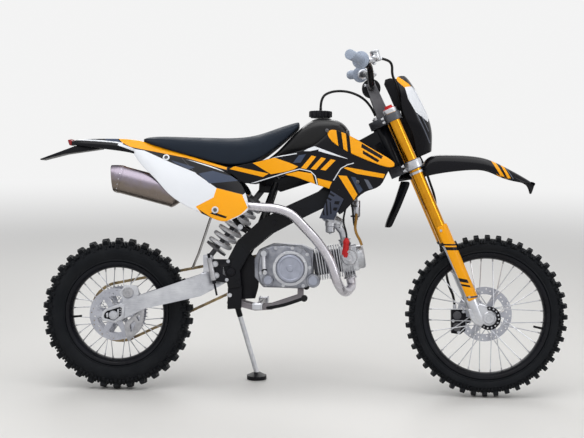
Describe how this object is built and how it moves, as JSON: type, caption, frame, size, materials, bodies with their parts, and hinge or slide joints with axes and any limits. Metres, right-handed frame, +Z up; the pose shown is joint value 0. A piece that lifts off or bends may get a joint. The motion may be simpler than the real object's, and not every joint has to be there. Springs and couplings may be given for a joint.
{
  "type": "dirt bike",
  "caption": "Small off-road motorcycle with knobbly spoked wheels, leaning on its side stand; the wheels turn, the fork steers and the stand folds.",
  "frame": {"origin": "on the ground, under the middle of the bounding box", "axes": "+X forward along the bike, +Y to its left, where the stand is, +Z up"},
  "size_m": [1.8828, 0.7972, 1.2287],
  "materials": {
    "frame_black": "gloss black",
    "engine_grey": "cast",
    "fins": "cast and painted",
    "bright": "brushed",
    "stainless": "brushed",
    "black_matt": "matt",
    "spring": "silver white",
    "grey_metal": "satin grey",
    "seat_cover": "grained synthetic",
    "black_plastic": "gloss",
    "red_lamp": "clear red",
    "white": "gloss",
    "chain": "oiled",
    "rubber": "matt",
    "gold": "anodised gold",
    "yellow": "gloss",
    "foam": "matt",
    "grip": "matt grey",
    "tyre": "matt",
    "rim": "satin black",
    "hub": "bright",
    "disc": "brushed"
  },
  "bodies": {
    "root": {"main_frame": "frame_black", "rear_frame": "frame_black", "engine_case": "engine_grey", "clutch_cover": "engine_grey", "generator_cover": "engine_grey", "cylinder": "fins", "cylinder_head": "bright", "carburettor": "bright", "ignition_coil": "bright", "exhaust_header": "stainless", "silencer": "stainless", "swingarm": "bright", "rear_axle": "bright", "shock_absorber": "black_matt", "shock_spring": "spring", "rear_caliper": "bright", "lower_bracket": "grey_metal", "footpegs": "bright", "kick_starter": "bright", "foot_levers": "frame_black", "fuel_tank": "black_matt", "fuel_cap": "black_matt", "seat": "seat_cover", "rear_fender": "black_plastic", "tail_plate": "black_plastic", "tail_light": "red_lamp", "side_panels": "white", "shrouds": "black_plastic", "slotted_plate": "grey_metal", "drive_chain": "chain", "front_sprocket": "chain", "vent_hose": "rubber", "disc_guard": "bright", "brake_cylinder": "bright", "mud_flap": "black_matt"},
    "steering": {"fork_clamps": "frame_black", "fork_tubes": "gold", "fork_lowers": "bright", "front_spindle": "bright", "fork_guards": "yellow", "bar_risers": "grey_metal", "handlebar": "frame_black", "bar_pad": "foam", "grips": "grip", "hand_levers": "bright", "front_mask": "black_plastic", "front_fender": "black_plastic", "front_caliper": "black_matt", "brake_hose": "rubber", "axle_ring": "black_matt"},
    "front_wheel": {"front_tyre": "tyre", "front_rim": "rim", "front_hub": "hub", "front_disc": "disc"},
    "rear_wheel": {"rear_tyre": "tyre", "rear_rim": "rim", "rear_hub": "hub", "rear_disc": "disc", "rear_sprocket": "disc"},
    "side_stand": {"side_stand": "bright"}
  },
  "joints": [
    {"name": "steering", "type": "hinge", "parent": "root", "child": "steering", "pos_m": [0.2994, -0.02701, 0.87702], "axis": [-0.4082, 0.0883, 0.9086], "range_deg": [-42, 42]},
    {"name": "front_wheel_turn", "type": "hinge", "parent": "steering", "child": "front_wheel", "pos_m": [0.65458, -0.0844, 0.28642], "axis": [0, 0.9953, -0.0967], "continuous": true},
    {"name": "rear_wheel_turn", "type": "hinge", "parent": "root", "child": "rear_wheel", "pos_m": [-0.65842, -0.08604, 0.26964], "axis": [0, 0.9953, -0.0967], "continuous": true},
    {"name": "side_stand_fold", "type": "hinge", "parent": "root", "child": "side_stand", "pos_m": [-0.24641, 0.02192, 0.30532], "axis": [0, 0.9953, -0.0967], "range_deg": [0, 95]}
  ]
}
